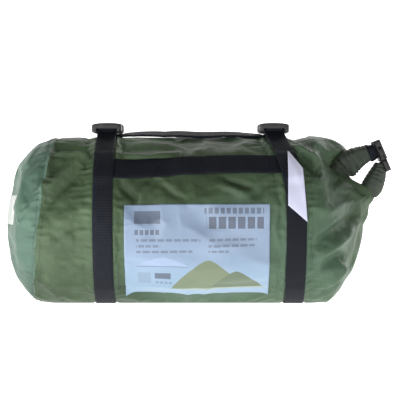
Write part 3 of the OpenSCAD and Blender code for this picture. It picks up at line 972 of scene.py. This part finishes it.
def smooth_path(stations, count):
    """Catmull-Rom curve through the stations."""
    points = np.array(stations, float)
    points = np.vstack([2 * points[0] - points[1], points, 2 * points[-1] - points[-2]])
    out = []
    for t in np.linspace(0, len(stations) - 1 - 1e-9, count):
        i, f = int(t) + 1, t % 1
        a, b, c, d = points[i - 1:i + 3]
        out.append(0.5 * (2 * b + (c - a) * f + (2 * a - 5 * b + 4 * c - d) * f * f
                          + (3 * b - a - 3 * c + d) * f ** 3))
    return np.array(out)


def rolled_cloth(name, stations, pleats, seed, count=130, material=None):
    """Thick band of rolled cloth. pleats gives where along it creases run across, and how deep."""
    columns = 72
    rng = np.random.default_rng(seed)
    path = smooth_path(stations, count)
    middle = np.stack([path[:, 0], 0 * path[:, 0], path[:, 1]], 1) * MM
    tangent = unit(np.gradient(middle, axis=0))
    across = np.cross(tangent, np.array([0, 1, 0]))
    run = np.concatenate([[0], np.cumsum(np.linalg.norm(np.diff(middle, axis=0), axis=1))])
    theta = np.linspace(0, 2 * math.pi, columns, endpoint=False)
    depth = np.zeros((count, columns))
    for share, deep in pleats:
        slant = rng.uniform(-1.6, 1.6) * MM
        sway = rng.uniform(0.6, 1.2) * MM * np.sin(theta * 2 + rng.uniform(0, 6))
        offset = run[:, None] - share * run[-1] - slant * np.cos(theta) - sway
        fade = 0.55 + 0.45 * np.sin(theta * 1.5 + rng.uniform(0, 6))
        depth -= fade * deep * MM * np.exp(-(offset / (0.8 * MM)) ** 2)
        depth += fade * 0.4 * deep * MM * np.exp(-((np.abs(offset) - 1.7 * MM) / (1.1 * MM)) ** 2)
    for k in (3, 5, 8):
        phase = rng.uniform(0, 6) + run[:, None] * rng.uniform(-60, 60)
        depth += 0.5 * MM / k * 3 * np.sin(k * theta + phase) * 0.6
    power = 2 / 2.6
    c, s = np.cos(theta), np.sin(theta)
    round_c, round_s = np.sign(c) * np.abs(c) ** power, np.sign(s) * np.abs(s) ** power
    ends = np.minimum(np.arange(count), np.arange(count)[::-1]) / 3.0
    close = np.sqrt(1 - (1 - np.clip(ends, 0, 1)) ** 2) * 0.98 + 0.02
    wide = (path[:, 2, None] * MM + depth) * close[:, None]
    deep_half = (path[:, 3, None] * MM + depth) * close[:, None]
    rings = (middle[:, None] + across[:, None] * (wide * round_c)[..., None]
             + np.array([0, 1, 0]) * (deep_half * round_s)[..., None])
    faces = grid_faces(count, columns)
    v = np.arange(columns + 1) * 0.07 / columns
    uvs = [(run[i + a], v[j + b]) for i in range(count - 1) for j in range(columns)
           for a, b in ((0, 0), (0, 1), (1, 1), (1, 0))]
    vertices = list(rings.reshape(-1, 3))
    for ring in (0, count - 1):
        order = list(range(columns)) if ring else list(range(columns))[::-1]
        faces.append([ring * columns + k for k in order])
        uvs += [(MM * math.cos(2 * math.pi * k / columns), MM * math.sin(2 * math.pi * k / columns))
                for k in order]
    obj = new_object(name, vertices, faces, uvs)
    obj.data.materials.append(material or band_cloth)
    tidy_normals(obj)
    obj.modifiers.new("smooth", "SUBSURF").levels = 1
    obj.modifiers["smooth"].render_levels = 1
    return obj


band_cloth = cloth_material("coated_cloth_rolled", (0.066, 0.080, 0.060), (0.036, 0.046, 0.036),
                            (0.060, 0.088, 0.070))
left_arm = rolled_cloth("rolled_mouth_left", LEFT_ARM, [
    (0.05, 0.7), (0.10, 0.5), (0.15, 0.6), (0.19, 0.4), (0.225, 0.8), (0.26, 0.6), (0.29, 0.9),
    (0.315, 0.6), (0.345, 1.0), (0.37, 0.7), (0.40, 1.1), (0.43, 0.8), (0.46, 1.1), (0.49, 0.8),
    (0.52, 0.9)], 3, 190)
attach(left_arm, "bag")
right_arm = rolled_cloth("rolled_mouth_right", RIGHT_ARM, [
    (0.22, 0.5), (0.36, 0.4), (0.50, 0.7), (0.62, 0.5), (0.74, 0.7), (0.86, 0.6)], 5, 100)
binding = rolled_cloth("closure_binding", [
    (175.5, 155.6, 9.6, 11.3), (179.5, 157.6, 9.4, 10.8), (182.3, 160.6, 7.6, 9.8), (183.6, 163.8, 5.4, 8.6)],
    [(0.2, 0.3), (0.6, 0.3)], 7, 48, webbing)
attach(binding, "bag")
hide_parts("rolled_mouth")
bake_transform(right_arm)


def closure_web(name, bar_offset, root, body):
    """Short webbing end that joins the rolled band to one half of the closure buckle."""
    mouth, way, scale = buckle_place("closure")
    bar = mouth + way * bar_offset * scale
    hole = LOOP_HOLE * scale
    root = np.array(root) * MM
    to_root = unit(root - bar)
    normal = np.cross(np.array([0, 1, 0]), to_root)
    wrap = []
    for t in np.linspace(-1.9, 1.9, 30):
        wrap.append(bar - hole * (math.cos(t) * to_root + math.sin(t) * normal))
    path = [root + normal * hole * 0.9] + list(np.array(wrap)[::-1]) + [root - normal * hole * 0.9]
    dense = []
    for a, b in zip(path[:-1], path[1:]):
        steps = max(1, int(np.linalg.norm(b - a) / (1.2 * MM)))
        dense += [a + (b - a) * k / steps for k in range(steps)]
    obj = ribbon(name, dense + [path[-1]], (0, 1, 0), 0.0155, thickness=1.2 * MM, flip=False)
    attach(obj, body)
    return obj


socket_web = closure_web("closure_socket_web", SOCKET_BAR, (179, 0, 158), "bag")
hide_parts("closure_socket_tab")
plug_web = closure_web("closure_plug_web", PLUG_BAR, (188, 0, 145), "closure_plug")
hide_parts("closure_plug_tab")

# ---- Label, tag and print ----


def label_material():
    """Pale printed card with plain bars and a pictogram of two hills; it carries no lettering."""
    m = Nodes("printed_card")
    u, v = m.uv()

    def between(value, low, high):
        above = m.math("GREATER_THAN", value, low * MM)
        return m.math("MULTIPLY", above, m.math("LESS_THAN", value, high * MM))

    def box(u0, u1, v0, v1):
        return m.math("MULTIPLY", between(u, u0, u1), between(v, v0, v1))

    def dashed(mask, period, share, shift=0.0):
        phase = m.math("FRACT", m.math("DIVIDE", m.math("ADD", u, shift * MM), period * MM))
        return m.math("MULTIPLY", mask, m.math("LESS_THAN", phase, share))

    def hill(peak_u, peak_v, base_v, half_width):
        fall = m.math("DIVIDE", m.math("ABSOLUTE", m.math("SUBTRACT", u, peak_u * MM)), half_width * MM)
        line = m.scaled(m.math("POWER", fall, 1.5), -(peak_v - base_v) * MM, peak_v * MM)
        return m.math("MULTIPLY", m.math("LESS_THAN", v, line), m.math("GREATER_THAN", v, base_v * MM))

    ink = (0.085, 0.105, 0.15)
    tone = m.mix(m.ramp(v, 20 * MM, 75 * MM), (0.25, 0.36, 0.48), (0.225, 0.30, 0.43))
    tone = m.mix(m.math("MULTIPLY", m.ramp(m.noise(28, 2), 0.4, 0.7), 0.25), tone, (0.33, 0.40, 0.54))
    tone = m.mix(hill(84, 50, 12, 40), tone, (0.165, 0.205, 0.125))
    tone = m.mix(hill(112, 38, 12, 28), tone, (0.12, 0.16, 0.10))
    tone = m.mix(m.math("MULTIPLY", box(54, 140, 11, 14), 0.8), tone, (0.30, 0.36, 0.28))
    for mask, strength in (
        (dashed(box(80, 139, 98, 104), 6.0, 0.68), 0.75),
        (dashed(box(82, 139, 83, 95), 9.6, 0.78, 2), 0.95),
        (box(10, 36, 88, 101), 0.8),
        (dashed(box(10, 36, 77, 82), 5.2, 0.7), 0.85),
        (dashed(box(12, 76, 70.5, 73), 8.3, 0.8), 0.6),
        (dashed(box(12, 36, 64.5, 67), 7.1, 0.8), 0.6),
        (dashed(box(12, 68, 58.5, 61), 9.1, 0.82), 0.6),
        (dashed(box(84, 132, 70.5, 73), 7.7, 0.8), 0.6),
        (dashed(box(84, 130, 64.5, 67), 8.9, 0.82), 0.6),
        (dashed(box(84, 104, 58.5, 61), 6.7, 0.8), 0.6),
        (box(30, 46, 26, 33.5), 0.9),
        (dashed(box(30, 48, 20, 22.5), 4.4, 0.7), 0.5),
        (box(13, 26, 20, 34), 0.22),
        (box(12, 64, 42, 43), 0.6),
    ):
        tone = m.mix(m.math("MULTIPLY", mask, strength), tone, ink)
    tone = m.mix(hill(38, 54, 43, 26), tone, (0.30, 0.38, 0.54))
    fibre = m.bump(m.noise(260, 3), 0.12 * MM, 0.4, m.bump(m.noise(45, 3), 0.9 * MM, 0.35))
    return m.finish(tone, m.scaled(m.noise(30, 3), 0.15, 0.34), fibre, Coat_Weight=0.15)


def sheet_on_bag(name, columns, rows, place, thickness, material, size):
    """Thin sheet that follows the bag. place gives the point and outward direction at two shares."""
    top, bottom = [], []
    for j in range(rows + 1):
        for i in range(columns + 1):
            point, outward = place(i / columns, j / rows)
            top.append(point + outward * thickness)
            bottom.append(point)
    count = len(top)
    faces, uvs = [], []

    def number(i, j, under):
        return j * (columns + 1) + i + (count if under else 0)

    def corner_uv(i, j):
        return (size[0] * i / columns, size[1] * j / rows)

    for j in range(rows):
        for i in range(columns):
            ring = [(i, j), (i + 1, j), (i + 1, j + 1), (i, j + 1)]
            faces.append([number(*c, False) for c in ring])
            faces.append([number(*c, True) for c in ring[::-1]])
            uvs += [corner_uv(*c) for c in ring] + [corner_uv(*c) for c in ring[::-1]]
    edge = ([(i, 0) for i in range(columns)] + [(columns, j) for j in range(rows)]
            + [(i, rows) for i in range(columns, 0, -1)] + [(0, j) for j in range(rows, 0, -1)])
    for a, b in zip(edge, edge[1:] + edge[:1]):
        faces.append([number(*b, False), number(*a, False), number(*a, True), number(*b, True)])
        uvs += [corner_uv(*b), corner_uv(*a), corner_uv(*a), corner_uv(*b)]
    obj = new_object(name, top + bottom, faces, uvs)
    obj.data.materials.append(material)
    tidy_normals(obj)
    return obj


def blur_grid(values, rounds):
    for _ in range(rounds):
        padded = np.pad(values, 1, mode="edge")
        beside = padded[:-2, 1:-1] + padded[2:, 1:-1] + padded[1:-1, :-2] + padded[1:-1, 2:]
        values = (beside + 2 * values) / 6
    return values


def make_label():
    low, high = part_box("label_card")
    width = high.x - low.x
    top = math.degrees(math.asin((high.z - AXIS_Z) / RADIUS))
    bottom = math.degrees(math.asin((low.z - AXIS_Z) / (RADIUS + 0.8 * MM)))
    columns, rows = 96, 72
    radius = np.array([[skin_radius(low.x + width * i / columns, bottom + (top - bottom) * j / rows)
                        for i in range(columns + 1)] for j in range(rows + 1)])
    radius = np.maximum(blur_grid(radius, 14), radius) + 0.3 * MM
    radius = np.maximum(blur_grid(radius, 2), radius)

    def place(s, t):
        angle = bottom + (top - bottom) * t
        point = at_radius(low.x + width * s, angle, radius[round(t * rows), round(s * columns)])
        return point, unit(point - np.array([point[0], 0, AXIS_Z]))

    height = math.radians(top - bottom) * (RADIUS + 0.5 * MM)
    label = sheet_on_bag("label_sheet", columns, rows, place, 0.5 * MM, label_material(), (width, height))
    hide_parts("label_card")
    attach(label, "bag")


def tag_material():
    m = Nodes("satin_tape")
    threads = wave(m, m.uv()[0], 1.1 * MM)
    tone = m.mix(m.math("MULTIPLY", threads, 0.3), (0.66, 0.67, 0.86), (0.58, 0.59, 0.78))
    tone = m.mix(m.math("MULTIPLY", m.ramp(m.noise(60, 3), 0.5, 0.8), 0.4), tone, (0.52, 0.53, 0.70))
    return m.finish(tone, 0.5, m.bump(threads, 0.1 * MM, 0.5, m.bump(m.noise(90, 3), 0.5 * MM, 0.4)),
                    Sheen_Weight=0.4)


def make_tag():
    """White tape on the right strap, cut aslant at both ends. Corners are x and elevation."""
    corners = {(0, 1): (88.7, 51.8), (1, 1): (103, 36), (1, 0): (106.5, 0.5), (0, 0): (87.5, 11)}

    def place(s, t):
        x, angle = (sum(corners[a, b][k] * (s if a else 1 - s) * (t if b else 1 - t)
                        for a in (0, 1) for b in (0, 1)) for k in (0, 1))
        on_strap = float(np.interp(angle, LOOP_ANGLES, right_radius)) + THICKNESS + 0.3 * MM
        lift = 0.5 * MM * math.sin(9 * t + 3 * s) * t + 0.8 * MM * max(0, 0.25 - t) * 4 * s
        point = at_radius(x * MM, angle, on_strap + lift)
        return point, unit(point - np.array([point[0], 0, AXIS_Z]))

    tag = sheet_on_bag("strap_tag_tape", 16, 60, place, 0.4 * MM, tag_material(), (0.0165, 0.066))
    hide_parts("strap_tag")
    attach(tag, "bag")


def make_end_print():
    """Plain pale patch printed across the sewn end."""
    m = Nodes("pale_print")
    tone = m.mix(m.ramp(m.noise(120, 4, 0.7), 0.42, 0.62), (0.42, 0.44, 0.42), (0.50, 0.52, 0.50))
    material = m.finish(tone, 0.5, m.bump(m.noise(300, 3), 0.15 * MM, 0.4))
    low, high = 82 * MM, 112 * MM
    half_low, half_high = 52 * MM, 63 * MM

    def place(s, t):
        z = low + (high - low) * t
        y = (half_low + (half_high - half_low) * t) * (2 * s - 1)
        point, normal = skin.ray_cast(Vector((-0.3, y, z)), Vector((1, 0, 0)))[:2]
        outward = np.array(normal) * -math.copysign(1, normal.x)
        return np.array(point) + outward * 0.25 * MM, outward

    patch = sheet_on_bag("end_print", 90, 20, place, 0.12 * MM, material, (2 * half_high, high - low))
    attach(patch, "bag")


make_label()
make_tag()
make_end_print()

# ---- Stitching ----


def stitch_row(points, outward, length, gap, radius):
    """Separate stitches along a line: the vertices and faces of one small bead for each."""
    run = np.concatenate([[0], np.cumsum(np.linalg.norm(np.diff(points, axis=0), axis=1))])
    vertices, faces = [], []
    start = gap
    while start + length < run[-1]:
        shares = np.array([0.0, 0.15, 0.5, 0.85, 1.0])
        middles = np.stack([np.interp(start + shares * length, run, points[:, k]) for k in range(3)], 1)
        out = np.stack([np.interp(start + 0.5 * length, run, outward[:, k]) for k in range(3)])
        along = unit(middles[-1] - middles[0])
        across = unit(np.cross(along, out))
        base_count = len(vertices)
        for centre, size, lift in zip(middles, (0.25, 0.9, 1.0, 0.9, 0.25), (-0.8, 0.3, 0.7, 0.3, -0.8)):
            for k in range(6):
                a = k * math.pi / 3
                vertices.append(centre + out * radius * (lift + size * math.sin(a))
                                + across * radius * size * math.cos(a))
        for ring in range(4):
            for k in range(6):
                n = (k + 1) % 6
                a = base_count + ring * 6
                faces.append((a + k, a + n, a + 6 + n, a + 6 + k))
        faces.append([base_count + k for k in range(6)][::-1])
        faces.append([base_count + 24 + k for k in range(6)])
        start += length + gap
    return vertices, faces


def stitches(name, rows, material, length=2.6 * MM, gap=1.1 * MM, radius=0.3 * MM):
    vertices, faces = [], []
    for points, outward in rows:
        new_vertices, new_faces = stitch_row(points, outward, length, gap, radius)
        faces += [[k + len(vertices) for k in face] for face in new_faces]
        vertices += new_vertices
    obj = new_object(name, vertices, faces)
    obj.data.materials.append(material)
    tidy_normals(obj)
    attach(obj, "bag")


final_normals = grid_normals(grid)
front_middle = grid[body_count // 2, COLUMNS // 4]
if final_normals[body_count // 2, COLUMNS // 4] @ (front_middle - [0, 0, AXIS_Z]) < 0:
    final_normals = -final_normals


def along_ring(ring):
    points = np.vstack([grid[ring], grid[ring][:1]])
    outward = np.vstack([final_normals[ring], final_normals[ring][:1]])
    return points + outward * 0.15 * MM, outward


def along_column(column, first, last):
    points, outward = grid[first:last, column], final_normals[first:last, column]
    return points + outward * 0.15 * MM, outward


dark_thread = thread_material("dark_thread", (0.018, 0.025, 0.018))
base_columns = [int(np.argmin(np.abs(ANGLES - a))) for a in (BASE_ANGLE - 1.2, 180 - BASE_ANGLE + 1.2)]
base_rows = [along_column(c, cap_ring + 3, base_end_ring) for c in base_columns]
stitches("cap_seam_stitches", [along_ring(cap_ring + 2), along_ring(cap_ring - 2)], dark_thread)
stitches("base_seam_stitches", base_rows, dark_thread)


def packed_roll():
    """The folded cloth and poles inside: a rumpled roll, well clear of the bag's own cloth."""
    rounds, columns = 60, 96
    around = np.linspace(0, 2 * math.pi, columns, endpoint=False)
    rings = []
    for share in np.linspace(0, 1, rounds):
        x = END_X + 14 * MM + (COLLAR_X - END_X - 18 * MM) * share
        swirl = 1.2 * MM * np.sin(around * 3 + share * 9) + 0.8 * MM * np.sin(around * 7 - share * 14)
        end_round = min(1.0, (min(share, 1 - share) * 12 + 0.02)) ** 0.5
        radius = (min(profile(x), RADIUS) - 13 * MM) * end_round + swirl * end_round
        z = AXIS_Z + radius * np.sin(around)
        rings.append(np.stack([x + 0 * around, -radius * np.cos(around), z], 1))
    vertices = np.concatenate(rings)
    faces = grid_faces(rounds, columns)
    faces += [list(range(columns))[::-1], [(rounds - 1) * columns + k for k in range(columns)]]
    uvs = [(0.001 * k, 0.001 * (i % 7)) for i, face in enumerate(faces) for k in range(len(face))]
    roll = new_object("packed_roll_cloth", vertices, faces, uvs)
    roll.data.materials.append(cloth_material("packed_cloth", (0.30, 0.30, 0.28), (0.24, 0.24, 0.22),
                                              (0.28, 0.30, 0.27)))
    tidy_normals(roll)
    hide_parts("packed_roll")
    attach(roll, "bag")


packed_roll()

# ---- Floor, light and camera ----


def studio():
    """White seamless floor that curves up behind the object. It glows a little, as a light table does."""
    sweep = [(y, 0.0) for y in np.linspace(-3, 1.4, 12)]
    for a in np.linspace(0, math.pi / 2, 16)[1:]:
        sweep.append((1.4 + 1.2 * math.sin(a), 1.2 - 1.2 * math.cos(a)))
    sweep.append((2.6, 4.0))
    vertices = [(x, y, z) for y, z in sweep for x in (-5, 5)]
    faces = [(2 * i, 2 * i + 1, 2 * i + 3, 2 * i + 2) for i in range(len(sweep) - 1)]
    floor = new_object("studio_floor", vertices, faces)
    m = Nodes("glowing_paper")
    tone = m.mix(m.noise(3, 2), (0.50, 0.50, 0.50), (0.53, 0.53, 0.53))
    m.put(m.shader.inputs["Emission Color"], (1.0, 1.0, 1.0))
    m.put(m.shader.inputs["Emission Strength"], 1.4)
    floor.data.materials.append(m.finish(tone, 0.8, m.bump(m.noise(200), 0.1 * MM, 0.2)))


def softbox(name, place, target, size, power, colour=(1, 1, 1)):
    data = bpy.data.lights.new(name, "AREA")
    data.shape = "RECTANGLE"
    data.size, data.size_y = size
    data.energy = power
    data.color = colour
    lamp = bpy.data.objects.new(name, data)
    bpy.context.scene.collection.objects.link(lamp)
    lamp.location = place
    lamp.rotation_euler = (Vector(target) - Vector(place)).to_track_quat("-Z", "Y").to_euler()


def air():
    """World that is white around the horizon and dark overhead."""
    world = bpy.data.worlds.new("studio_air")
    world.use_nodes = True
    tree = world.node_tree
    background = tree.nodes["Background"]
    place = tree.nodes.new("ShaderNodeTexCoord")
    split = tree.nodes.new("ShaderNodeSeparateXYZ")
    rise = tree.nodes.new("ShaderNodeMapRange")
    rise.interpolation_type = "SMOOTHSTEP"
    rise.inputs["From Min"].default_value = 0.12
    rise.inputs["From Max"].default_value = 0.60
    tone = tree.nodes.new("ShaderNodeMix")
    tone.data_type = "RGBA"
    tone.inputs[6].default_value = (1, 1, 1, 1)
    tone.inputs[7].default_value = (0.10, 0.09, 0.065, 1)
    tree.links.new(place.outputs["Generated"], split.inputs[0])
    tree.links.new(split.outputs[2], rise.inputs["Value"])
    tree.links.new(rise.outputs["Result"], tone.inputs[0])
    tree.links.new(tone.outputs[2], background.inputs[0])
    background.inputs[1].default_value = 1.0
    bpy.context.scene.world = world


studio()
air()
middle = (0, 0, AXIS_Z)
softbox("front_low", (-0.8, -1.9, 0.12), middle, (1.2, 0.4), 7)
softbox("left_side", (-1.7, -0.6, 0.15), middle, (0.7, 0.6), 11, (0.92, 1.0, 0.97))
softbox("back_right", (1.2, 1.5, 1.0), middle, (1.0, 1.0), 8)
softbox("table_left", (-0.28, -0.22, 0.003), (-0.28, -0.22, 1), (0.32, 0.26), 0.6)
bpy.context.scene.view_settings.view_transform = "Standard"

CAMERA_DISTANCE = 1.6
FRAME_WIDTH = 0.42                  # width of the picture where the bag's axis is
camera_data = bpy.data.cameras.new("camera")
camera_data.sensor_width = 36
camera_data.lens = 36 * CAMERA_DISTANCE / FRAME_WIDTH
camera = bpy.data.objects.new("camera", camera_data)
bpy.context.scene.collection.objects.link(camera)
camera.location = (0, -CAMERA_DISTANCE, 0.107)
camera.rotation_euler = (math.pi / 2, 0, 0)
bpy.context.scene.camera = camera
